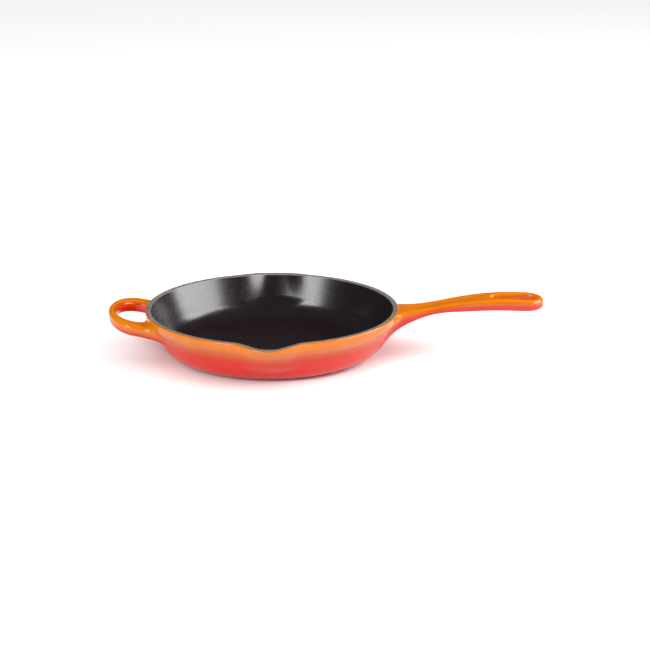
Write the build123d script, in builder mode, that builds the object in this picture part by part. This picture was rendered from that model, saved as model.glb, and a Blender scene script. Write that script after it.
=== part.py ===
"""Enamelled cast iron skillet with a long handle, a looped helper handle and two spouts.

Frame: origin at the centre of the resting plane, +Z up, long handle along +X,
helper handle along -X, pouring spouts at +Y and -Y. Millimetres.

The iron is one casting. Here it is split where the two handles grow out of the bowl,
and each stretch of iron carries its own shell of fused enamel, face to face.
"""
import os
from math import cos, radians, sin, tan

from build123d import *

os.makedirs("parts", exist_ok=True)

# ---- Bowl ---------------------------------------------------------------------------
PAN_HEIGHT = 47.0              # resting plane to rim
COAT = 0.5                     # enamel thickness
WALL = 4.4                     # wall and floor, with the enamel on both sides
BASE_RADIUS = 94.5             # flat base, up to where the corner starts
CORNER_RADIUS = 27.0           # outside corner between the base and the wall
WALL_SLOPE = radians(68)       # straight wall above the corner

BEAD_OUT = 2.4                 # how far the rolled bead stands proud of the wall
BEAD_HEIGHT = 9.6
BEAD_TOP_GAP = 0.4             # bare wall between the bead and the rim

FOOT_WIDTH = 12.0              # ring that the pan stands on
FOOT_HEIGHT = 0.6              # how far the base inside the ring is recessed

SPOUT_REACH = 145.0            # pan axis to the lip of each spout
SPOUT_RADIUS = 28.0            # of the cylinder that the spout is part of, in plan
SPOUT_LEAN = 0.83              # how fast the spout leans outwards, in mm per mm of height
SPOUT_FOOT_Z = 10.0            # where that cylinder ends, inside the corner
SPOUT_DIP = 2.7                # lip below the rim
SPOUT_DIP_HALF_WIDTH = 28.0

OVERSHOOT = 4.0                # how far the bowl's forms run past the rim before trimming

# ---- Long handle: stations of x, half width, top and bottom above the rim -------------
HANDLE_STATIONS = [
    (112.0, 34.0, -5.0, -31.0),
    (126.0, 25.0, -2.6, -22.5),
    (138.0, 18.3, -1.2, -16.6),
    (152.0, 14.6, 0.5, -10.9),
    (172.0, 13.6, 3.8, -4.9),
    (197.0, 14.7, 8.4, -2.4),
    (230.0, 17.6, 11.7, -0.2),
    (265.2, 18.8, 11.7, -0.5),
]
HANDLE_TIP_RADIUS = 18.8
HANDLE_TIP_DROOP = 0.8         # how much the top falls from the last station to the tip
HANDLE_EDGE = 4.0              # rounding of the handle's edges
TROUGH_DEPTH = 1.8             # hollow along the top of the handle
TROUGH_RIM = 4.6               # raised edge on each side of it
TROUGH_START = 138.0
TROUGH_START_HALF = 10.5       # half width of the hollow at its start
TROUGH_END = 226.0
TROUGH_END_HALF = 9.4
TROUGH_CORNER = 4.0
SLOT_START = 229.0             # end of the hanging slot that is nearer the bowl
SLOT_START_RADIUS = 6.0
SLOT_RIM = 6.8                 # iron left round the wide end of the slot
SLOT_EDGE = 2.4

# ---- Helper handle: half-elliptical loop, tilted up away from the bowl ----------------
LOOP_CENTRE_X = -141.0
LOOP_REACH = 30.0              # centre to tip
LOOP_HALF_WIDTH = 51.3
LOOP_ROOT_X = -104.0           # both handles start inside the wall
LOOP_ROOT_HALF_WIDTH = 60.0
LOOP_ROOT_SPREAD = 0.5         # how fast the loop widens at its root
HOLE_CENTRE_X = -142.0
HOLE_REACH = 21.0
HOLE_HALF_WIDTH = 33.0
LOOP_THICKNESS = 11.8
LOOP_MID_Z = PAN_HEIGHT - 9.3  # middle of the bar at LOOP_MID_X
LOOP_MID_X = -150.0
LOOP_TILT = radians(11)
LOOP_EDGE = 3.6

BIG = 400.0                    # larger than the skillet, for trimming
LONG_EDGE = 10.0               # an edge that runs further than this along X goes along the handle
FLAT_EDGE = 0.7                # an edge whose direction has less Z than this lies on a face


def corner_point(slope, inset):
    """Radius and height on the corner arc at a slope, moved inwards by inset."""
    reach = CORNER_RADIUS - inset
    return BASE_RADIUS + reach * sin(slope), CORNER_RADIUS - reach * cos(slope)


def round_bowl(inset):
    """Solid inside one surface of the bowl without its spouts, running past the rim."""
    top = PAN_HEIGHT + OVERSHOOT
    floor = corner_point(0.0, inset)
    wall_foot = corner_point(WALL_SLOPE, inset)
    mouth = (wall_foot[0] + (top - wall_foot[1]) / tan(WALL_SLOPE), top)
    with BuildPart() as form:
        with BuildSketch(Plane.XZ):
            with BuildLine():
                Line((0, floor[1]), floor)
                ThreePointArc(floor, corner_point(WALL_SLOPE / 2, inset), wall_foot)
                Polyline(wall_foot, mouth, (0, top), (0, floor[1]))
            make_face()
        revolve(axis=Axis.Z)
    return form.part


def spout_centre(z, inset):
    """How far the centre of a spout's leaning cylinder is from the pan's axis at a height."""
    lip_shift = inset * ((1 + SPOUT_LEAN ** 2) ** 0.5 - 1)
    return SPOUT_REACH - SPOUT_RADIUS - lip_shift - (PAN_HEIGHT - z) * SPOUT_LEAN


def spout(side, inset):
    """Solid inside one surface of the spout at +Y (side 1) or -Y (side -1): a leaning cylinder."""
    top = PAN_HEIGHT + OVERSHOOT
    with BuildPart() as form:
        with BuildSketch(Plane.XY.offset(top)):
            with Locations((0, side * spout_centre(top, inset))):
                Circle(SPOUT_RADIUS - inset)
        length = (top - SPOUT_FOOT_Z) * (1 + SPOUT_LEAN ** 2) ** 0.5
        extrude(amount=length, dir=(0, -side * SPOUT_LEAN, -1))
    return form.part


def bead(inset):
    """Rolled bead as full rings round the pan and round each spout."""
    middle = PAN_HEIGHT - BEAD_TOP_GAP - BEAD_HEIGHT / 2
    section = (BEAD_HEIGHT ** 2 / 4 + BEAD_OUT ** 2) / (2 * BEAD_OUT)
    wall_foot = corner_point(WALL_SLOPE, 0)
    pan_radius = wall_foot[0] + (middle - wall_foot[1]) / tan(WALL_SLOPE)
    centre_y = spout_centre(middle, 0)
    with BuildPart() as form:
        with Locations((0, 0, middle)):
            Torus(pan_radius + BEAD_OUT - section, section - inset)
        with Locations((0, centre_y, middle), (0, -centre_y, middle)):
            Torus(SPOUT_RADIUS + BEAD_OUT - section, section - inset)
    return form.part


def bowl_form(inset, beaded=False):
    """Solid inside one surface of the bowl with its spouts, running past the rim."""
    with BuildPart() as form:
        add(round_bowl(inset))
        for side in (1, -1):
            add(spout(side, inset))
        if beaded:
            add(bead(inset))
    return form.part


def above_rim(drop):
    """Everything above the rim, which dips at the spouts, lowered by drop."""
    top = PAN_HEIGHT - drop
    dip_radius = (SPOUT_DIP_HALF_WIDTH ** 2 + SPOUT_DIP ** 2) / (2 * SPOUT_DIP)
    with BuildPart() as form:
        with BuildSketch(Plane.XY.offset(top)):
            Rectangle(BIG, BIG)
        extrude(amount=BIG)
        with BuildSketch(Plane.XZ):
            with Locations((0, top - SPOUT_DIP + dip_radius)):
                Circle(dip_radius)
        extrude(amount=BIG / 2, both=True)
    return form.part


def side_band(stations, inset):
    """Endless wall of iron between a top and a bottom curve of (x, top, bottom) stations."""
    with BuildPart() as form:
        with BuildSketch(Plane.XZ):
            with BuildLine():
                top = Spline(*[(x, high - inset) for x, high, low in stations])
                bottom = Spline(*[(x, low + inset) for x, high, low in stations])
                Line(top @ 0, bottom @ 0)
                Line(top @ 1, bottom @ 1)
            make_face()
        extrude(amount=BIG, both=True)
    return form.part


def long_handle_plan(inset):
    """Sketch of the long handle seen from above."""
    widths = [(x, half - inset) for x, half, high, low in HANDLE_STATIONS]
    end_x = widths[-1][0]
    tip = (end_x + HANDLE_TIP_RADIUS - inset, 0)
    with BuildSketch() as plan:
        with BuildLine():
            edge = Spline(*widths)
            ThreePointArc(edge @ 1, tip, (end_x, -widths[-1][1]))
            Spline(*[(x, -half) for x, half in widths])
            Line(edge @ 0, (widths[0][0], -widths[0][1]))
        make_face()
    return plan.sketch


def slot_plan(inset):
    """Sketch of the hanging slot: a round wide end and a round narrow end."""
    wide = HANDLE_TIP_RADIUS - SLOT_RIM + inset
    narrow = SLOT_START_RADIUS + inset
    with BuildSketch() as plan:
        with Locations((HANDLE_STATIONS[-1][0], 0)):
            Circle(wide)
        with Locations((SLOT_START + SLOT_START_RADIUS, 0)):
            Circle(narrow)
        make_hull()
    return plan.sketch


def trough_plan(inset):
    """Sketch of the hollow along the top of the long handle."""
    inside = [(x, half) for x, half, high, low in HANDLE_STATIONS if TROUGH_START < x < TROUGH_END]
    edge_points = [(TROUGH_START - inset, TROUGH_START_HALF + inset)]
    edge_points += [(x, half - TROUGH_RIM + inset) for x, half in inside]
    edge_points += [(TROUGH_END + inset, TROUGH_END_HALF + inset)]
    with BuildSketch() as plan:
        with BuildLine():
            edge = Spline(*edge_points)
            Line(edge @ 1, (edge_points[-1][0], -edge_points[-1][1]))
            Spline(*[(x, -half) for x, half in edge_points])
            Line(edge @ 0, (edge_points[0][0], -edge_points[0][1]))
        make_face()
        fillet(plan.vertices(), radius=TROUGH_CORNER)
    return plan.sketch


def long_handle_form(inset):
    """Solid inside one surface of the long handle, running into the bowl."""
    sides = [(x, PAN_HEIGHT + high, PAN_HEIGHT + low) for x, half, high, low in HANDLE_STATIONS]
    tip_x = HANDLE_STATIONS[-1][0] + HANDLE_TIP_RADIUS
    sides.append((tip_x, sides[-1][1] - HANDLE_TIP_DROOP, sides[-1][2]))
    trough_sides = [(x, PAN_HEIGHT + BIG, high - TROUGH_DEPTH) for x, high, low in sides]
    with BuildPart() as trough:
        add(side_band(trough_sides, -inset))
        extrude(trough_plan(inset), amount=BIG, mode=Mode.INTERSECT)
    with BuildPart() as form:
        add(side_band(sides, inset))
        extrude(long_handle_plan(inset), amount=BIG, mode=Mode.INTERSECT)
        rounded = form.edges().filter_by(lambda edge: edge.bounding_box().size.X > LONG_EDGE)
        fillet(rounded, radius=HANDLE_EDGE - inset)
        before = form.edges()
        extrude(slot_plan(inset), amount=BIG, mode=Mode.SUBTRACT)
        lips = (form.edges() - before).filter_by(lambda edge: abs(edge.tangent_at(0.5).Z) < FLAT_EDGE)
        fillet(lips, radius=SLOT_EDGE - inset)
        add(trough.part, mode=Mode.SUBTRACT)
    return form.part


def helper_handle_plan(inset):
    """Sketch of the helper handle's loop seen from above, with its finger hole."""
    half = LOOP_HALF_WIDTH - inset
    root_half = LOOP_ROOT_HALF_WIDTH - inset
    with BuildSketch() as plan:
        with BuildLine():
            loop = EllipticalCenterArc((LOOP_CENTRE_X, 0), LOOP_REACH - inset, half, 90, arc_size=180)
            upper = Spline((LOOP_ROOT_X, root_half), loop @ 0, tangents=((-1, -LOOP_ROOT_SPREAD), (-1, 0)))
            lower = Spline((LOOP_ROOT_X, -root_half), loop @ 1, tangents=((-1, LOOP_ROOT_SPREAD), (-1, 0)))
            Line(upper @ 0, lower @ 0)
        make_face()
        with Locations((HOLE_CENTRE_X, 0)):
            Ellipse(HOLE_REACH + inset, HOLE_HALF_WIDTH + inset, mode=Mode.SUBTRACT)
    return plan.sketch


def helper_handle_form(inset):
    """Solid inside one surface of the helper handle, running into the bowl."""
    middle = [(x, LOOP_MID_Z + (LOOP_MID_X - x) * tan(LOOP_TILT)) for x in (LOOP_ROOT_X, -BIG / 2)]
    reach = LOOP_THICKNESS / cos(LOOP_TILT) / 2
    with BuildPart() as form:
        add(side_band([(x, z + reach, z - reach) for x, z in middle], inset))
        extrude(helper_handle_plan(inset), amount=BIG, mode=Mode.INTERSECT)
        rounded = form.edges().filter_by(GeomType.LINE, reverse=True)
        fillet(rounded, radius=LOOP_EDGE - inset)
    return form.part


# ---- The forms that every piece is cut from -------------------------------------------
outer_bowl = bowl_form(0.0, beaded=True)
iron_bowl = bowl_form(COAT, beaded=True)
iron_cavity = bowl_form(WALL - COAT)
cavity = bowl_form(WALL)
above_iron = above_rim(COAT)
long_iron = long_handle_form(COAT)
helper_iron = helper_handle_form(COAT)

with BuildPart() as bowl_casting:
    add(iron_bowl)
    add(above_iron, mode=Mode.SUBTRACT)
    add(iron_cavity, mode=Mode.SUBTRACT)
    with BuildSketch(Plane.XY.offset(COAT)):
        Circle(BASE_RADIUS - FOOT_WIDTH + COAT)
    extrude(amount=FOOT_HEIGHT, mode=Mode.SUBTRACT)
bowl_casting.part.label = "bowl_casting"

with BuildPart() as long_handle_casting:
    add(long_iron)
    add(iron_bowl, mode=Mode.SUBTRACT)
long_handle_casting.part.label = "long_handle_casting"

with BuildPart() as helper_handle_casting:
    add(helper_iron)
    add(iron_bowl, mode=Mode.SUBTRACT)
helper_handle_casting.part.label = "helper_handle_casting"

with BuildPart() as interior_enamel:
    add(iron_cavity)
    add(above_iron, mode=Mode.SUBTRACT)
    add(cavity, mode=Mode.SUBTRACT)
interior_enamel.part.label = "interior_enamel"

with BuildPart() as rim_ground_coat:
    add(outer_bowl)
    add(cavity, mode=Mode.SUBTRACT)
    add(above_rim(0.0), mode=Mode.SUBTRACT)
    add(above_iron, mode=Mode.INTERSECT)
rim_ground_coat.part.label = "rim_ground_coat"

with BuildPart() as base_enamel:
    with BuildSketch():
        Circle(BASE_RADIUS)
    extrude(amount=COAT)
    with BuildSketch():
        Circle(BASE_RADIUS - FOOT_WIDTH + COAT)
    extrude(amount=FOOT_HEIGHT + COAT)
    with BuildSketch():
        Circle(BASE_RADIUS - FOOT_WIDTH)
    extrude(amount=FOOT_HEIGHT, mode=Mode.SUBTRACT)
base_enamel.part.label = "base_enamel"

with BuildPart() as wall_enamel:
    add(outer_bowl)
    add(above_iron, mode=Mode.SUBTRACT)
    add(iron_bowl, mode=Mode.SUBTRACT)
    add(long_iron, mode=Mode.SUBTRACT)
    add(helper_iron, mode=Mode.SUBTRACT)
    with BuildSketch():
        Circle(BASE_RADIUS)
    extrude(amount=PAN_HEIGHT / 2, mode=Mode.SUBTRACT)
wall_enamel.part.label = "wall_enamel"

with BuildPart() as long_handle_enamel:
    add(long_handle_form(0.0))
    add(long_iron, mode=Mode.SUBTRACT)
    add(outer_bowl, mode=Mode.SUBTRACT)
long_handle_enamel.part.label = "long_handle_enamel"

with BuildPart() as helper_handle_enamel:
    add(helper_handle_form(0.0))
    add(helper_iron, mode=Mode.SUBTRACT)
    add(outer_bowl, mode=Mode.SUBTRACT)
helper_handle_enamel.part.label = "helper_handle_enamel"

PIECES = [
    bowl_casting,
    long_handle_casting,
    helper_handle_casting,
    interior_enamel,
    rim_ground_coat,
    base_enamel,
    wall_enamel,
    long_handle_enamel,
    helper_handle_enamel,
]
for piece in PIECES:
    export_step(piece.part, f"parts/{piece.part.label}.step")
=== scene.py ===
"""Looks of the enamelled cast iron skillet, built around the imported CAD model.

The iron, its enamel coats and the bare rim are meshed here from one smooth description of
the casting, so that the handles, the bead and the spouts flow into the bowl as they do on
a real casting. Lengths are in millimetres in the frame of the CAD model, and become metres
when a mesh is made; only the floor, the camera and the lights are given in metres.
"""
from math import cos, pi, radians, sin, tan

import bmesh
import bpy
import numpy as np
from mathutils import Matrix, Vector


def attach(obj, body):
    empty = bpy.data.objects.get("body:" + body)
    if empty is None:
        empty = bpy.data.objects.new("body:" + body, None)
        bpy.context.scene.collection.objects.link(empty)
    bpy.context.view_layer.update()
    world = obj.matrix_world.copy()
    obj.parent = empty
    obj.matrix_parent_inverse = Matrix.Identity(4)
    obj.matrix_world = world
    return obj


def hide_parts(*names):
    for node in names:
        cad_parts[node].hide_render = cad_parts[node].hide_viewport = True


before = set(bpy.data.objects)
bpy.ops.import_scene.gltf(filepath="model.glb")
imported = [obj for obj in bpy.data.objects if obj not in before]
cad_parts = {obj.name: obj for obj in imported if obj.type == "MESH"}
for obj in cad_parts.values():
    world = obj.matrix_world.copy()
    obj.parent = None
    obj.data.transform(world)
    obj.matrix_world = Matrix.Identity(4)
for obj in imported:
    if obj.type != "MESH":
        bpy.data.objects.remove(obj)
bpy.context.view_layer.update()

MM = 0.001

# ---- Driving dimensions ---------------------------------------------------------------
PAN_HEIGHT = 47.0
COAT = 0.5                     # thickness of every enamel coat
WALL = 4.4                     # thickness of the wall, enamels included
BASE_RADIUS = 94.5
CORNER_RADIUS = 27.0
WALL_SLOPE = radians(68)
OVERSHOOT = 5.0                # how far the cavity's shape runs on above the rim

BEAD_OUT = 2.4
BEAD_HEIGHT = 9.6
BEAD_MID_Z = 41.8
BEAD_FILLET = 5.5              # rounding where the bead meets the wall
BEAD_RADIUS = (BEAD_HEIGHT ** 2 / 4 + BEAD_OUT ** 2) / (2 * BEAD_OUT)

SPOUT_REACH = 145.0
SPOUT_RADIUS = 21.0
SPOUT_LEAN = 0.83              # outward shift per unit of height
SPOUT_FLARE = 18.0             # rounding where the spouts leave the wall, at the rim
SPOUT_BLEND = 0.5              # the same at their feet, on top of which the flare comes
FLARE_LOW_Z = 6.0              # there is no flare below this
FLARE_FULL_Z = 24.0            # all of it above this
SPOUT_FOOT_Z = 14.0            # the spouts end here, inside the corner
SPOUT_FADE_Z = 24.0            # below this they draw back into the wall
SPOUT_FADE = 0.04              # how fast they draw back
SPOUT_DIP = 2.7                # how far the rim sinks at the spouts
SPOUT_DIP_HALF_WIDTH = 34.0

RIM_EDGE = 0.8                 # rounding of the rim's inner edge, which the bare band covers
LIP_EDGE = 1.6                 # rounding of the rim's outer edge
LIP_WIDTH = 1.15               # how far the flame enamel reaches over the rim
LIP_DEPTH = 2.0                # below this the flame enamel is whole
RIM_TUCK = 0.12                # the bare band is this far below the enamels

# x, half width, top and bottom above the rim
HANDLE_STATIONS = np.array([
    (112.0, 34.0, -5.0, -31.0),
    (126.0, 25.0, -2.6, -22.5),
    (138.0, 18.3, -1.2, -16.6),
    (152.0, 14.6, 0.5, -10.9),
    (172.0, 13.6, 3.8, -4.9),
    (197.0, 14.7, 8.4, -2.4),
    (230.0, 17.6, 11.7, -0.2),
    (265.2, 18.8, 11.7, -0.5),
    (284.0, 18.8, 10.9, -0.5),
])
HANDLE_END_X = 265.2
HANDLE_TIP_RADIUS = 18.8
HANDLE_EDGE = 4.0              # rounding of the handle's long edges
TROUGH_DEPTH = 1.8
TROUGH_RIM = 4.6               # width that the trough leaves on each side
TROUGH_START = 128.0
TROUGH_END = 232.0
TROUGH_FADE = 24.0             # length over which the trough comes up to the handle's top
TROUGH_CLEAR = 1.4             # its floor is this far above the top where there is no trough
TROUGH_EDGE = 2.2              # rounding of the trough's edge
SLOT_START = 229.0
SLOT_START_RADIUS = 6.0
SLOT_RIM = 6.8                 # width that the slot leaves round the handle's tip
SLOT_EDGE = 3.0                # rounding of the slot's edge

LOOP_CENTRE_X = -141.0
LOOP_REACH = 30.0
LOOP_HALF_WIDTH = 51.3
LOOP_ROOT_X = -104.0
LOOP_ROOT_HALF_WIDTH = 60.0
HOLE_CENTRE_X = -142.0
HOLE_REACH = 21.0
HOLE_HALF_WIDTH = 33.0
LOOP_THICKNESS = 11.8
LOOP_MID_Z = PAN_HEIGHT - 9.3
LOOP_MID_X = -150.0
LOOP_TILT = radians(11)
LOOP_EDGE = 3.6                # rounding of the helper handle's edges

LONG_HANDLE_FILLET = 9.0       # rounding where the handles leave the bowl
LOOP_FILLET = 7.0
FILLET_CLEAR = 1.0             # the fillets fade out towards this far under the rim
FILLET_FADE = 8.0              # they are whole this far below that
FILLET_LEAST = 0.12            # share of them that stays

# Meshing; the grids start off the flat faces, which would otherwise fall on grid planes
CELL = 1.5                     # grid that the enamel coats are meshed on
BASE_OPEN_Z = 0.1              # faces of the casting below this are the flat base
BASE_EDGE_Z = 5.0              # open edges below this are the edge of the flat base
CASTING_LOW = (-177.3, -151.1, -3.17)
CASTING_HIGH = (290.0, 152.0, 63.0)
CAVITY_LOW = (-131.3, -145.1, 1.13)
CAVITY_HIGH = (132.0, 146.0, 54.0)
IRON_CELL = 1.8                # grid that the iron is meshed on
IRON_LOW = (-177.5, -150.7, -3.13)
IRON_HIGH = (290.0, 152.0, 63.0)
IRON_DEPTH = 0.55              # the iron starts this far under the enamel's surface
IRON_RIM_DEPTH = 1.3           # the iron stops this far under the rim
RIM_STEPS = 720                # points round the rim band
RIM_PROFILE = 19               # points across it
RIM_NEAR, RIM_FAR = 90.0, 160.0    # the rim is between these distances from the middle
RIM_REACH = 8.0                # the band's surface is nearer than this to the wall's middle

# Shade of the flame enamel: 0 where it is deepest red, 1 where it is lightest
WALL_SHADE = 0.12              # at the foot of the wall
WALL_SHADE_GAIN = 0.83         # how much lighter it is at the top
WALL_SHADE_Z = (14.0, 42.0)    # heights between which it grows
HANDLE_SHADE = 0.2             # on the underside of the handles
HANDLE_SHADE_GAIN = 0.8
HOLE_PAINTED_SHADE = 0.4          # painted shade: how much darker the enamel is made inside the finger hole, where little light reaches
SHADE_BLEND = 4.0              # distance over which the handles' shade becomes the wall's

# Colours, linear
FLAME_DEEP = (0.60, 0.006, 0.002)
FLAME_RED = (0.49, 0.019, 0.002)
FLAME_ORANGE = (0.50, 0.075, 0.002)
FLAME_LIGHT = (0.57, 0.158, 0.001)
FLAME_EDGE = (0.10, 0.06, 0.035)   # where the enamel thins at the rim
FLAME_EDGE_WIDTH = 0.5
BLACK_DARK = (0.009, 0.005, 0.0065)
BLACK_LIGHT = (0.012, 0.007, 0.009)
# Painted highlight: width of the light grey strip along the black enamel's top edge, under the
# rim's inner rounding
PAINTED_RIM_HIGHLIGHT_WIDTH = 0.6
GROUND_DARK = (0.10, 0.09, 0.08)
# GROUND_LIGHT also colours the painted highlight along the black enamel's top edge
GROUND_LIGHT = (0.20, 0.18, 0.165)
IRON_DARK = (0.10, 0.10, 0.105)
IRON_LIGHT = (0.20, 0.20, 0.205)
FLOOR_DARK = (0.88, 0.88, 0.88)
FLOOR_LIGHT = (0.90, 0.90, 0.90)

# Stage, in metres
FLOOR_REACH = 14.0
FLOOR_Z = -0.0001
CAMERA_PLACE = (0.0554, -1.891, 0.6076)
CAMERA_TILT = radians(72.93)
CAMERA_LENS = 104.3            # mm, on a sensor 36 mm wide
ROOM_LIGHT = 0.045
PAN_PLACE = (0.0, 0.0, 0.03)   # what the softboxes face


# ---- Shape of the casting, as distances in mm (negative inside) -------------------------
def join(a, b, blend):
    """Union of two distances with a rounded inner corner."""
    share = np.clip(0.5 + 0.5 * (b - a) / blend, 0.0, 1.0)
    return b * (1 - share) + a * share - blend * share * (1 - share)


def carve(a, b, blend):
    """The shape a without the shape b, with a rounded edge."""
    return -join(-a, b, blend)


def rounded(a, b, radius):
    """Overlap of two distances with a round outer edge."""
    a, b = a + radius, b + radius
    return np.minimum(np.maximum(a, b), 0) + np.hypot(np.maximum(a, 0), np.maximum(b, 0)) - radius


def ease(value, low, high):
    """0 below low, 1 above high, and smooth between them."""
    share = np.clip((value - low) / (high - low), 0, 1)
    return share * share * (3 - 2 * share)


def smooth_curve(stations, values):
    """Function through the values at the stations: a natural cubic spline."""
    gaps = np.diff(stations)
    slopes = np.diff(values) / gaps
    count = len(stations)
    system = np.eye(count)
    right = np.zeros(count)
    for k in range(1, count - 1):
        system[k, k - 1:k + 2] = gaps[k - 1], 2 * (gaps[k - 1] + gaps[k]), gaps[k]
        right[k] = 6 * (slopes[k] - slopes[k - 1])
    bend = np.linalg.solve(system, right)

    def curve(x):
        k = np.clip(np.searchsorted(stations, x) - 1, 0, count - 2)
        gap = gaps[k]
        low, high = stations[k + 1] - x, x - stations[k]
        return ((bend[k] * low ** 3 + bend[k + 1] * high ** 3) / (6 * gap)
                + (values[k] / gap - bend[k] * gap / 6) * low
                + (values[k + 1] / gap - bend[k + 1] * gap / 6) * high)
    return curve


def dip(x):
    """How far the rim sinks at the spouts."""
    return SPOUT_DIP * np.clip(1 - (x / SPOUT_DIP_HALF_WIDTH) ** 2, 0, 1) ** 2


def wall_radius(z, inset=0.0):
    """Radius of the straight part of the wall."""
    reach = CORNER_RADIUS - inset
    foot_r = BASE_RADIUS + reach * sin(WALL_SLOPE)
    foot_z = CORNER_RADIUS - reach * cos(WALL_SLOPE)
    return foot_r + (z - foot_z) / tan(WALL_SLOPE)


def round_pan(x, y, z, inset):
    """Base, corner and wall of the pan, without spouts, filled in."""
    radius = np.hypot(x, y)
    across, up = radius - BASE_RADIUS, z - CORNER_RADIUS
    wall = (radius - wall_radius(z, inset)) * sin(WALL_SLOPE)
    base = inset - z
    corner = np.hypot(across, up) - (CORNER_RADIUS - inset)
    past_wall = across * cos(WALL_SLOPE) + up * sin(WALL_SLOPE) > 0
    return np.where(past_wall | (across < 0), np.maximum(wall, base), corner)


def spout_plan(x, y, z, inset):
    """Distance in plan from both spouts, which are leaning cylinders."""
    lip_shift = inset * ((1 + SPOUT_LEAN ** 2) ** 0.5 - 1)
    centre = SPOUT_REACH - SPOUT_RADIUS - lip_shift - (PAN_HEIGHT - z) * SPOUT_LEAN
    centre = centre - SPOUT_FADE * np.maximum(SPOUT_FADE_Z - z, 0) ** 2
    return np.hypot(x, np.abs(y) - centre) - SPOUT_RADIUS + inset


def spout(x, y, z, inset):
    """Both spouts, fading out in the corner of the pan."""
    leaning = spout_plan(x, y, z, inset) / (1 + SPOUT_LEAN ** 2) ** 0.5
    return np.maximum(leaning, SPOUT_FOOT_Z - z)


def flare(z):
    """Rounding between the wall and the spouts."""
    return SPOUT_BLEND + SPOUT_FLARE * ease(z, FLARE_LOW_Z, FLARE_FULL_Z)


def bead_ring(x, y, z, sunk):
    """Rolled bead round the wall and the spouts, lowered along them by sunk."""
    level = BEAD_MID_Z - sunk
    around_pan = np.hypot(x, y) - wall_radius(level)
    inward = join(around_pan, spout_plan(x, y, level, 0.0), SPOUT_FLARE) - BEAD_OUT + BEAD_RADIUS
    return np.hypot(inward, z - level) - BEAD_RADIUS


def bead(x, y, z):
    """The bead sinks with the rim at the spouts; the iron inside it does not."""
    return np.minimum(bead_ring(x, y, z, dip(x)), bead_ring(x, y, z, 0.0))


def bowl_outside(x, y, z):
    """Outside of the bowl with its spouts and bead, filled in."""
    body = join(round_pan(x, y, z, 0.0), spout(x, y, z, 0.0), flare(z))
    return join(body, bead(x, y, z), BEAD_FILLET)


def bowl_inside(x, y, z):
    """The room inside the bowl."""
    return join(round_pan(x, y, z, WALL), spout(x, y, z, WALL), flare(z))


handle_half = smooth_curve(HANDLE_STATIONS[:-1, 0], HANDLE_STATIONS[:-1, 1])
handle_top = smooth_curve(HANDLE_STATIONS[:, 0], HANDLE_STATIONS[:, 2])
handle_bottom = smooth_curve(HANDLE_STATIONS[:, 0], HANDLE_STATIONS[:, 3])


def slot(x, y):
    """Plan distance from the hanging slot: two circles and their tangents."""
    wide, narrow = HANDLE_TIP_RADIUS - SLOT_RIM, SLOT_START_RADIUS
    narrow_x = SLOT_START + SLOT_START_RADIUS
    length = HANDLE_END_X - narrow_x
    side, along = np.abs(y), HANDLE_END_X - x
    lean = (wide - narrow) / length
    tangent = (1 - lean * lean) ** 0.5
    turn = along * tangent - side * lean
    at_wide = np.hypot(side, along) - wide
    at_narrow = np.hypot(side, along - length) - narrow
    between = side * tangent + along * lean - wide
    return np.where(turn < 0, at_wide, np.where(turn > tangent * length, at_narrow, between))


def steepness(curve, at):
    """Slope of a curve, taken over a millimetre."""
    return curve(at + 0.5) - curve(at - 0.5)


def long_handle(x, y, z):
    """The long handle, with its trough and its hanging slot."""
    at = np.clip(x, HANDLE_STATIONS[0, 0], HANDLE_STATIONS[-1, 0])
    inner = np.minimum(at, HANDLE_END_X)
    half = handle_half(inner)
    side = (np.abs(y) - half) / np.hypot(1.0, steepness(handle_half, inner))
    side = np.where(x > HANDLE_END_X, np.hypot(x - HANDLE_END_X, y) - HANDLE_TIP_RADIUS, side)
    top, low = PAN_HEIGHT + handle_top(at), PAN_HEIGHT + handle_bottom(at)
    above = (z - top) / np.hypot(1.0, steepness(handle_top, at))
    below = (low - z) / np.hypot(1.0, steepness(handle_bottom, at))
    body = rounded(side, np.maximum(above, below), HANDLE_EDGE)
    open_share = ease(np.minimum(x - TROUGH_START, TROUGH_END - x), 0.0, TROUGH_FADE)
    depth = TROUGH_DEPTH * open_share - TROUGH_CLEAR * (1 - open_share)
    body = carve(body, np.maximum(side + TROUGH_RIM, -above - depth), TROUGH_EDGE)
    return np.maximum(carve(body, slot(x, y), SLOT_EDGE), HANDLE_STATIONS[0, 0] - x)


def ellipse(x, y, reach, half):
    """Plan distance from an ellipse."""
    size = np.hypot(x / reach, y / half)
    steep = np.hypot(x / reach ** 2, y / half ** 2) + 1e-9
    return size * (size - 1) / steep


def helper_handle(x, y, z):
    """The looped handle: a flat tilted ring that runs into the wall."""
    away = np.clip((x - LOOP_CENTRE_X) / (LOOP_ROOT_X - LOOP_CENTRE_X), 0, 1)
    half = LOOP_HALF_WIDTH + (LOOP_ROOT_HALF_WIDTH - LOOP_HALF_WIDTH) * away ** 2
    loop = np.where(x < LOOP_CENTRE_X, ellipse(x - LOOP_CENTRE_X, y, LOOP_REACH, LOOP_HALF_WIDTH),
                    np.abs(y) - half)
    hole = ellipse(x - HOLE_CENTRE_X, y, HOLE_REACH, HOLE_HALF_WIDTH)
    middle = LOOP_MID_Z + (LOOP_MID_X - x) * tan(LOOP_TILT)
    flat = np.abs(z - middle) * cos(LOOP_TILT) - LOOP_THICKNESS / 2
    return np.maximum(rounded(np.maximum(loop, -hole), flat, LOOP_EDGE), x - LOOP_ROOT_X)


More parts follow.
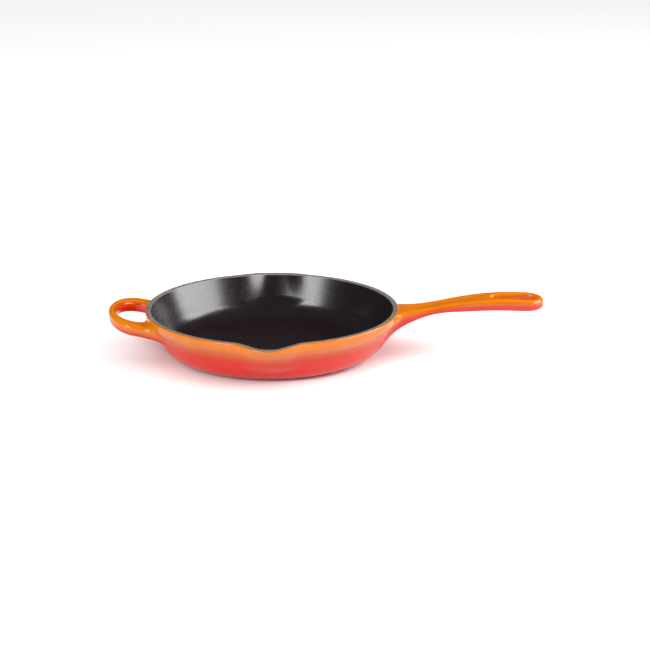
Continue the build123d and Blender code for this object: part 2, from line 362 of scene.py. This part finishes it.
def casting_outside(x, y, z):
    """Everything that the flame enamel covers, with the bowl filled in."""
    bowl = rounded(bowl_outside(x, y, z), z + dip(x) - PAN_HEIGHT, LIP_EDGE)
    share = np.clip((PAN_HEIGHT - FILLET_CLEAR - z) / FILLET_FADE, FILLET_LEAST, 1.0)
    shape = join(bowl, long_handle(x, y, z), LONG_HANDLE_FILLET * share)
    return join(shape, helper_handle(x, y, z), LOOP_FILLET * share)


def cavity(x, y, z):
    """What the black enamel lines."""
    return np.maximum(bowl_inside(x, y, z), z - PAN_HEIGHT - OVERSHOOT)


def iron(x, y, z):
    """The bare casting under the enamels and the rim band."""
    shell = np.maximum(casting_outside(x, y, z), -bowl_inside(x, y, z)) + IRON_DEPTH
    over_rim = np.minimum(z + dip(x) - PAN_HEIGHT + IRON_RIM_DEPTH, -bowl_outside(x, y, z))
    return np.maximum(shell, over_rim)


# ---- Meshing ---------------------------------------------------------------------------
def slope_of(shape, p, step=0.02):
    """Gradient of a distance at points."""
    parts = []
    for axis in range(3):
        ahead, behind = p.copy(), p.copy()
        ahead[:, axis] += step
        behind[:, axis] -= step
        parts.append((shape(*ahead.T) - shape(*behind.T)) / (2 * step))
    return np.stack(parts, axis=1)


def settle(shape, p, rounds, reach=1.5):
    """Moves points on to the surface of a shape."""
    for _ in range(rounds):
        gradient = slope_of(shape, p)
        step = shape(*p.T) / np.maximum((gradient ** 2).sum(axis=1), 1e-6)
        move = -step[:, None] * gradient
        size = np.linalg.norm(move, axis=1, keepdims=True)
        p = p + move * np.minimum(1.0, reach / np.maximum(size, 1e-9))
    return p


def unpinch(inside):
    """Fills grid squares with two opposite corners inside, where a net would touch itself."""
    for _ in range(3):
        for axis in range(3):
            layer = np.moveaxis(inside, axis, 0)
            a, b = layer[:, :-1, :-1], layer[:, 1:, 1:]
            c, d = layer[:, :-1, 1:], layer[:, 1:, :-1]
            pinched = (a == b) & (c == d) & (a != c)
            for corner in (a, b, c, d):
                corner |= pinched


def net(shape, low, high, cell):
    """Quad mesh of a shape's surface: one vertex in each grid cell that the surface crosses."""
    axes = [np.arange(a, b + cell, cell) for a, b in zip(low, high)]
    grid = np.stack(np.meshgrid(*axes, indexing="ij"), axis=-1)
    inside = shape(grid[..., 0], grid[..., 1], grid[..., 2]) < 0
    unpinch(inside)
    cells_x, cells_y, cells_z = (count - 1 for count in inside.shape)
    corners = [inside[i:cells_x + i, j:cells_y + j, k:cells_z + k]
               for i in (0, 1) for j in (0, 1) for k in (0, 1)]
    filled = sum(c.astype(np.int8) for c in corners)
    mixed = (filled > 0) & (filled < 8)
    index = np.full(mixed.shape, -1)
    index[mixed] = np.arange(mixed.sum())
    points = grid[:-1, :-1, :-1][mixed] + cell / 2
    faces = []
    for axis in range(3):
        first = [slice(None)] * 3
        second = [slice(None)] * 3
        first[axis], second[axis] = slice(0, -1), slice(1, None)
        starts, ends = inside[tuple(first)], inside[tuple(second)]
        b, c = [other for other in range(3) if other != axis]
        crossing = np.argwhere(starts != ends)
        keep = (crossing[:, b] > 0) & (crossing[:, c] > 0)
        keep &= (crossing[:, b] < mixed.shape[b]) & (crossing[:, c] < mixed.shape[c])
        crossing = crossing[keep]
        ring = []
        for step_b, step_c in ((-1, -1), (0, -1), (0, 0), (-1, 0)):
            cells = crossing.copy()
            cells[:, b] += step_b
            cells[:, c] += step_c
            ring.append(index[tuple(cells.T)])
        quads = np.stack(ring, axis=1)
        outward = starts[tuple(crossing.T)]
        flip = outward if axis == 1 else ~outward
        quads[flip] = quads[flip][:, ::-1]
        faces.append(quads)
    return points, np.concatenate(faces)


def relax(shape, points, faces, rounds):
    """Evens out a net along the surface, then sets it on the surface again."""
    edges = np.concatenate([faces[:, [k, (k + 1) % 4]] for k in range(4)])
    edges = np.unique(np.sort(edges, axis=1), axis=0)
    degree = np.bincount(edges.ravel(), minlength=len(points))[:, None]
    for _ in range(rounds):
        total = np.zeros_like(points)
        np.add.at(total, edges[:, 0], points[edges[:, 1]])
        np.add.at(total, edges[:, 1], points[edges[:, 0]])
        points = settle(shape, 0.4 * points + 0.6 * total / np.maximum(degree, 1), 1)
    return settle(shape, points, 2)


def mesh_object(name, points, faces):
    """Blender object from points in mm."""
    mesh = bpy.data.meshes.new(name)
    corners = [tuple(int(v) for v in face) for face in faces]
    mesh.from_pydata([tuple(p) for p in np.asarray(points) * MM], [], corners)
    mesh.validate()
    mesh.shade_smooth()
    piece = bpy.data.objects.new(name, mesh)
    bpy.context.scene.collection.objects.link(piece)
    return piece


def coat(name, points, faces, outward):
    """Closed shell: the given surface, and the same surface a coat's thickness behind it.

    outward holds the true normals of the casting, which shade the shell smoothly.
    """
    count = len(points)
    rim = {}
    for face in faces:
        for a, b in zip(face, face[1:] + face[:1]):
            if (b, a) in rim:
                del rim[b, a]
            else:
                rim[a, b] = True
    behind = [tuple(v + count for v in reversed(face)) for face in faces]
    sides = [(b, a, a + count, b + count) for a, b in rim]
    everything = [tuple(face) for face in faces] + behind + sides
    piece = mesh_object(name, np.concatenate([points, points - COAT * outward]), everything)
    normals = []
    for polygon in piece.data.polygons:
        if polygon.index < len(faces):
            normals += [tuple(outward[v]) for v in polygon.vertices]
        elif polygon.index < 2 * len(faces):
            normals += [tuple(-outward[v - count]) for v in polygon.vertices]
        else:
            normals += [tuple(polygon.normal)] * len(polygon.vertices)
    piece.data.normals_split_custom_set(normals)
    return piece


def trimmed(points, faces, field):
    """Cuts a surface where a field passes zero, and keeps the part where it is negative.

    The field stands in for z while Blender cuts at z = 0; the real z waits in a layer.
    """
    mesh = bmesh.new()
    height = mesh.verts.layers.float.new("height")
    for point, value in zip(points, field(*points.T)):
        vert = mesh.verts.new((point[0], point[1], value))
        vert[height] = point[2]
    verts = list(mesh.verts)
    for face in faces:
        mesh.faces.new([verts[v] for v in face])
    bmesh.ops.bisect_plane(mesh, geom=verts + list(mesh.edges) + list(mesh.faces), dist=1e-3,
                           plane_co=(0, 0, 0), plane_no=(0, 0, 1), clear_outer=True)
    mesh.verts.index_update()
    kept = np.array([(vert.co.x, vert.co.y, vert[height]) for vert in mesh.verts])
    kept_faces = [[vert.index for vert in face.verts] for face in mesh.faces]
    mesh.free()
    return kept, kept_faces


def above_lip(x, y, z):
    """Positive on the part of the rim that the flame enamel leaves bare."""
    level = PAN_HEIGHT - dip(x)
    return np.minimum(-LIP_WIDTH - bowl_outside(x, y, level), z - level + LIP_DEPTH)


def above_lining(x, y, z):
    """Positive above the edge of the black enamel."""
    return z + dip(x) - PAN_HEIGHT + RIM_EDGE


def casting_mesh():
    """The enamelled outside of the casting, open at the rim and at the flat base."""
    points, faces = net(casting_outside, CASTING_LOW, CASTING_HIGH, CELL)
    points = settle(casting_outside, points, 3)
    points = relax(casting_outside, points, faces, 4)
    points, faces = trimmed(points, faces.tolist(), above_lip)
    radius = np.hypot(points[:, 0], points[:, 1])
    on_base = (points[:, 2] < BASE_OPEN_Z) & (radius < BASE_RADIUS)
    faces = [face for face in faces if not any(on_base[v] for v in face)]
    return used_only(points, faces)


def used_only(points, faces):
    """Leaves out the points that no face uses."""
    used = np.zeros(len(points), bool)
    used[[v for face in faces for v in face]] = True
    place = np.cumsum(used) - 1
    return points[used], [[int(place[v]) for v in face] for face in faces]


def open_edge(faces):
    """Points on the open edges of a surface."""
    count = {}
    for face in faces:
        for a, b in zip(face, face[1:] + face[:1]):
            key = (min(a, b), max(a, b))
            count[key] = count.get(key, 0) + 1
    return np.array(sorted({v for key, times in count.items() if times == 1 for v in key}))


def normals_of(shape, points):
    """Unit normals of a shape at points, pointing out of it."""
    gradient = slope_of(shape, points)
    return gradient / np.linalg.norm(gradient, axis=1, keepdims=True)


def shade_of(points, normals):
    """0 where the enamel is deepest red, 1 where it is lightest: it was sprayed from above.
    Inside the finger hole it is also darkened as painted shade.
    """
    x, y, z = points.T
    on_wall = WALL_SHADE + WALL_SHADE_GAIN * ease(z, *WALL_SHADE_Z)
    at = np.clip(x, HANDLE_STATIONS[0, 0], HANDLE_STATIONS[-1, 0])
    low, top = PAN_HEIGHT + handle_bottom(at), PAN_HEIGHT + handle_top(at)
    on_long = HANDLE_SHADE + HANDLE_SHADE_GAIN * ease((z - low) / (top - low), 0.2, 0.9)
    share = 0.5 + (z - LOOP_MID_Z - (LOOP_MID_X - x) * tan(LOOP_TILT)) / LOOP_THICKNESS
    from_hole = x - HOLE_CENTRE_X
    into_hole = -(normals[:, 0] * from_hole + normals[:, 1] * y) / np.hypot(from_hole, y)
    on_loop = HANDLE_SHADE + HANDLE_SHADE_GAIN * ease(share, -0.1, 0.7)
    # Painted shade: the walls inside the finger hole are made darker
    on_loop = on_loop - HOLE_PAINTED_SHADE * ease(into_hole, 0.2, 0.8)
    handle = np.minimum(long_handle(x, y, z), helper_handle(x, y, z))
    on_handle = ease(bowl_outside(x, y, z) - handle, -SHADE_BLEND, SHADE_BLEND)
    return on_wall * (1 - on_handle) + np.where(x > 0, on_long, on_loop) * on_handle


def add_attribute(piece, name, values):
    """Value at each point of a coat; its hidden side gets the same."""
    attribute = piece.data.attributes.new(name, "FLOAT", "POINT")
    attribute.data.foreach_set("value", np.concatenate([values, values]).astype(np.float32))


def flame_coats():
    """Flame enamel of the wall and of each handle, split where they meet."""
    points, faces = casting_mesh()
    edge = open_edge(faces)
    low_edge = edge[points[edge, 2] < BASE_EDGE_Z]
    pull = BASE_RADIUS / np.hypot(points[low_edge, 0], points[low_edge, 1])
    points[low_edge, 0] *= pull
    points[low_edge, 1] *= pull
    points[low_edge, 2] = 0.0
    outward = normals_of(casting_outside, points)
    outward[low_edge] = (0, 0, -1)
    shade = shade_of(points, outward)
    from_edge = -above_lip(*points.T)
    centres = np.array([points[face].mean(axis=0) for face in faces])
    wall = bowl_outside(*centres.T)
    long = long_handle(*centres.T)
    helper = helper_handle(*centres.T)
    nearest = np.argmin(np.stack([wall, long, helper]), axis=0)
    coats = []
    for number, name in enumerate(("wall", "long_handle", "helper_handle")):
        own = [face for face, near in zip(faces, nearest) if near == number]
        used = np.unique([v for face in own for v in face])
        place = {int(v): k for k, v in enumerate(used)}
        own = [[place[v] for v in face] for face in own]
        piece = coat(name + "_flame_coat", points[used], own, outward[used])
        add_attribute(piece, "shade", shade[used])
        add_attribute(piece, "from_edge", from_edge[used])
        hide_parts(name + "_enamel")
        coats.append(piece)
    return coats


def interior_coat():
    """Black enamel of the floor and of the inside of the wall."""
    points, faces = net(cavity, CAVITY_LOW, CAVITY_HIGH, CELL)
    points = settle(cavity, points, 3)
    points = relax(cavity, points, faces, 4)
    points, faces = trimmed(points, faces.tolist(), above_lining)
    points, faces = used_only(points, faces)
    into_iron = normals_of(cavity, points)
    faces = [face[::-1] for face in faces]
    piece = coat("interior_black_coat", points, faces, -into_iron)
    add_attribute(piece, "from_edge", -above_lining(*points.T))
    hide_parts("interior_enamel")
    return piece


def rim_section(x, y, z):
    """The wall near the rim, with rounded edges, just inside the two enamels."""
    top = z + dip(x) - PAN_HEIGHT + RIM_TUCK
    outer = rounded(bowl_outside(x, y, z) + RIM_TUCK, top, LIP_EDGE)
    return np.maximum(outer, rounded(RIM_TUCK - bowl_inside(x, y, z), top, RIM_EDGE))


def first_crossing(shape, start, direction, near, far):
    """Distance along each ray to where the shape's surface is, by halving."""
    low, high = np.full(len(start), near), np.full(len(start), far)
    for _ in range(30):
        middle = (low + high) / 2
        inside = shape(*(start + middle[:, None] * direction).T) < 0
        low, high = np.where(inside, middle, low), np.where(inside, high, middle)
    return (low + high) / 2


def rim_band():
    """Bare ground coat round the rim: a rounded band between the two enamels."""
    turn = np.linspace(0, 2 * pi, RIM_STEPS, endpoint=False)
    outward = np.stack([np.cos(turn), np.sin(turn), 0 * turn], axis=1)
    level = PAN_HEIGHT - LIP_EDGE
    axis = np.zeros((RIM_STEPS, 3))

    def at_level(shape):
        return lambda x, y, z: shape(x, y, level - dip(x))
    outer = first_crossing(at_level(bowl_outside), axis, outward, RIM_NEAR, RIM_FAR)
    inner = first_crossing(at_level(bowl_inside), axis, outward, RIM_NEAR, RIM_FAR)
    centre = (outer + inner)[:, None] / 2 * outward
    centre[:, 2] = level - dip(centre[:, 0])
    rings = []
    for angle in np.linspace(0, pi, RIM_PROFILE):
        direction = outward * cos(angle) + np.array([0, 0, sin(angle)])
        reach = first_crossing(rim_section, centre, direction, 0.0, RIM_REACH)
        rings.append(centre + reach[:, None] * direction)
    points = np.concatenate(rings)
    faces = []
    for k in range(RIM_PROFILE):
        after = (k + 1) % RIM_PROFILE
        for j in range(RIM_STEPS):
            beside = (j + 1) % RIM_STEPS
            faces.append([k * RIM_STEPS + j, k * RIM_STEPS + beside,
                          after * RIM_STEPS + beside, after * RIM_STEPS + j])
    piece = mesh_object("rim_ground_band", points, faces)
    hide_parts("rim_ground_coat")
    return piece


def iron_casting():
    """The casting itself, all but hidden by its enamel."""
    points, faces = net(iron, IRON_LOW, IRON_HIGH, IRON_CELL)
    piece = mesh_object("iron_casting", settle(iron, points, 2), faces)
    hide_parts("bowl_casting", "long_handle_casting", "helper_handle_casting")
    return piece


# ---- Materials -------------------------------------------------------------------------
class Nodes:
    """Short way to build a material's nodes; bump heights are in mm."""

    def __init__(self, name):
        self.material = bpy.data.materials.new(name)
        self.material.use_nodes = True
        self.tree = self.material.node_tree
        self.shader = self.tree.nodes["Principled BSDF"]
        self.place = self.add("ShaderNodeTexCoord").outputs["Object"]

    def add(self, kind, **settings):
        node = self.tree.nodes.new(kind)
        for key, value in settings.items():
            setattr(node, key, value)
        return node

    def link(self, source, target):
        self.tree.links.new(source, target)

    def attribute(self, name):
        return self.add("ShaderNodeAttribute", attribute_name=name).outputs["Fac"]

    def noise(self, scale, detail=2.0, roughness=0.5):
        node = self.add("ShaderNodeTexNoise")
        node.inputs["Scale"].default_value = scale
        node.inputs["Detail"].default_value = detail
        node.inputs["Roughness"].default_value = roughness
        self.link(self.place, node.inputs["Vector"])
        return node.outputs["Fac"]

    def spread(self, source, from_low, from_high, to_low, to_high):
        node = self.add("ShaderNodeMapRange")
        self.link(source, node.inputs["Value"])
        for key, value in (("From Min", from_low), ("From Max", from_high),
                           ("To Min", to_low), ("To Max", to_high)):
            node.inputs[key].default_value = value
        return node.outputs["Result"]

    def vary(self, scale, detail, low, high, roughness=0.5):
        """Noise that runs from low to high."""
        return self.spread(self.noise(scale, detail, roughness), 0.3, 0.7, low, high)

    def combine(self, operation, a, b):
        node = self.add("ShaderNodeMath", operation=operation)
        for socket, value in zip(node.inputs, (a, b)):
            if isinstance(value, (int, float)):
                socket.default_value = value
            else:
                self.link(value, socket)
        return node.outputs["Value"]

    def ramp(self, source, stops):
        node = self.add("ShaderNodeValToRGB")
        self.link(source, node.inputs["Fac"])
        elements = node.color_ramp.elements
        while len(elements) < len(stops):
            elements.new(0.5)
        for element, (position, colour) in zip(elements, stops):
            element.position = position
            element.color = (*colour, 1.0)
        return node.outputs["Color"]

    def mix(self, share, a, b):
        node = self.add("ShaderNodeMix", data_type="RGBA")
        self.link(share, node.inputs["Factor"])
        sockets = [socket for socket in node.inputs if socket.type == "RGBA"]
        for socket, value in zip(sockets, (a, b)):
            if isinstance(value, tuple):
                socket.default_value = (*value, 1.0)
            else:
                self.link(value, socket)
        return [socket for socket in node.outputs if socket.type == "RGBA"][0]

    def bump(self, source, height, before=None):
        node = self.add("ShaderNodeBump")
        node.inputs["Strength"].default_value = 1.0
        node.inputs["Distance"].default_value = height * MM
        self.link(source, node.inputs["Height"])
        if before is not None:
            self.link(before, node.inputs["Normal"])
        return node.outputs["Normal"]

    def finish(self, colour, roughness, normal, ior=1.5):
        self.link(colour, self.shader.inputs["Base Color"])
        self.link(roughness, self.shader.inputs["Roughness"])
        self.link(normal, self.shader.inputs["Normal"])
        self.shader.inputs["IOR"].default_value = ior
        return self.material


def flame_enamel(shaded=True):
    """Glossy enamel, lighter on top, with painted shade inside the finger hole and a faint orange
    peel; dark where it thins at the rim.
    """
    n = Nodes("flame_enamel" if shaded else "flame_enamel_base")
    cloud = n.vary(38.0, 3.0, -0.05, 0.05)
    shade = n.combine("ADD", n.attribute("shade") if shaded else WALL_SHADE, cloud)
    colour = n.ramp(shade, ((0.0, FLAME_DEEP), (0.4, FLAME_RED),
                            (0.7, FLAME_ORANGE), (1.0, FLAME_LIGHT)))
    specks = n.vary(900.0, 1.0, 0.94, 1.0)
    colour = n.mix(specks, FLAME_DEEP, colour)
    if shaded:
        edge = n.spread(n.attribute("from_edge"), 0.0, FLAME_EDGE_WIDTH, 0.0, 1.0)
        colour = n.mix(edge, FLAME_EDGE, colour)
    rough = n.vary(60.0, 2.0, 0.07, 0.13)
    waves = n.bump(n.noise(55.0, 1.0), 0.10)
    peel = n.bump(n.noise(420.0, 1.0), 0.012, waves)
    return n.finish(colour, rough, peel, 1.52)


def black_enamel():
    """Satin black enamel with a fine grain, and a painted highlight in light grey along its top
    edge.
    """
    n = Nodes("satin_black_enamel")
    cloud = n.vary(25.0, 4.0, 0.0, 1.0)
    colour = n.mix(cloud, BLACK_DARK, BLACK_LIGHT)
    # Painted highlight: the black turns to the ground coat's light grey along its top edge, under
    # the rim's inner rounding
    edge = n.spread(n.attribute("from_edge"), 0.0, PAINTED_RIM_HIGHLIGHT_WIDTH, 0.0, 1.0)
    colour = n.mix(edge, GROUND_LIGHT, colour)
    rough = n.vary(300.0, 3.0, 0.22, 0.28)
    waves = n.bump(n.noise(40.0, 1.0), 0.05)
    grain = n.bump(n.noise(1100.0, 2.0), 0.0012, waves)
    return n.finish(colour, rough, grain, 1.7)


def ground_coat():
    """Bare grey ground coat, mottled and semi-matt."""
    n = Nodes("grey_ground_coat")
    mottle = n.vary(220.0, 4.0, 0.0, 1.0, 0.6)
    colour = n.mix(mottle, GROUND_DARK, GROUND_LIGHT)
    rough = n.vary(500.0, 2.0, 0.30, 0.45)
    pits = n.bump(n.noise(900.0, 3.0), 0.02)
    return n.finish(colour, rough, pits, 1.5)


def cast_iron():
    """Sandy grey iron skin, which the enamel hides."""
    n = Nodes("sandy_cast_iron")
    colour = n.mix(n.noise(300.0, 5.0, 0.7), IRON_DARK, IRON_LIGHT)
    rough = n.vary(700.0, 3.0, 0.55, 0.8)
    sand = n.bump(n.noise(1100.0, 5.0, 0.7), 0.15)
    n.shader.inputs["Metallic"].default_value = 1.0
    return n.finish(colour, rough, sand)


# ---- Stage -----------------------------------------------------------------------------
def camera():
    """At the photograph's viewing angle: nearly level with the pan, long lens."""
    eye = bpy.data.cameras.new("view")
    eye.lens = CAMERA_LENS
    eye.sensor_width = 36.0
    eye.clip_end = 100.0
    viewer = bpy.data.objects.new("view", eye)
    viewer.location = CAMERA_PLACE
    viewer.rotation_euler = (CAMERA_TILT, 0, 0)
    bpy.context.scene.collection.objects.link(viewer)
    bpy.context.scene.camera = viewer


def floor():
    """Plain white sweep under the skillet."""
    mesh = bpy.data.meshes.new("floor")
    corners = [(x * FLOOR_REACH, y * FLOOR_REACH, FLOOR_Z)
               for x, y in ((-1, -1), (1, -1), (1, 1), (-1, 1))]
    mesh.from_pydata(corners, [], [(0, 1, 2, 3)])
    plane = bpy.data.objects.new("floor", mesh)
    bpy.context.scene.collection.objects.link(plane)
    n = Nodes("white_floor")
    colour = n.mix(n.noise(2.0), FLOOR_DARK, FLOOR_LIGHT)
    n.link(colour, n.shader.inputs["Base Color"])
    n.shader.inputs["Roughness"].default_value = 0.9
    n.shader.inputs["Specular IOR Level"].default_value = 0.0
    mesh.materials.append(n.material)


def softbox(name, place, aim, size, power):
    """Rectangular area light at a place, facing a point; metres and watts."""
    lamp = bpy.data.lights.new(name, "AREA")
    lamp.shape = "RECTANGLE"
    lamp.size, lamp.size_y = size
    lamp.energy = power
    box = bpy.data.objects.new(name, lamp)
    box.location = place
    box.rotation_euler = (Vector(aim) - Vector(place)).to_track_quat("-Z", "Y").to_euler()
    bpy.context.scene.collection.objects.link(box)
    return box


def towards(turn, rise, distance):
    """Place at a bearing from the camera's side of the pan, positive to the right; degrees."""
    turn, rise = radians(turn), radians(rise)
    level = distance * cos(rise)
    return level * sin(turn), -level * cos(turn), distance * sin(rise)


def studio():
    """Broad light from above, a softbox at the front and one at the right, and a dim room."""
    world = bpy.data.worlds.new("room")
    world.use_nodes = True
    world.node_tree.nodes["Background"].inputs["Color"].default_value = (1, 1, 1, 1)
    world.node_tree.nodes["Background"].inputs["Strength"].default_value = ROOM_LIGHT
    bpy.context.scene.world = world
    overhead = softbox("overhead", (0.0, 0.0, 5.0), (0.0, 0.0, 0.0), (16.0, 12.0), 850.0)
    overhead.visible_glossy = False
    softbox("front_left", towards(-36, 23, 2.3), PAN_PLACE, (1.25, 1.1), 35.0)
    softbox("right", towards(88, 24, 1.9), PAN_PLACE, (1.75, 1.15), 43.0)
    bpy.context.scene.view_settings.view_transform = "Standard"


def dress(piece, material):
    """Gives a piece its material, and fixes it to the part's only body."""
    piece.data.materials.append(material)
    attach(piece, "root")


flame = flame_enamel()
for coated in flame_coats():
    dress(coated, flame)
dress(interior_coat(), black_enamel())
dress(rim_band(), ground_coat())
dress(iron_casting(), cast_iron())

# The underside is the CAD model's own piece, in the enamel of the wall
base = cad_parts["base_enamel"].data
base.materials.clear()
base.materials.append(flame_enamel(shaded=False))

camera()
floor()
studio()
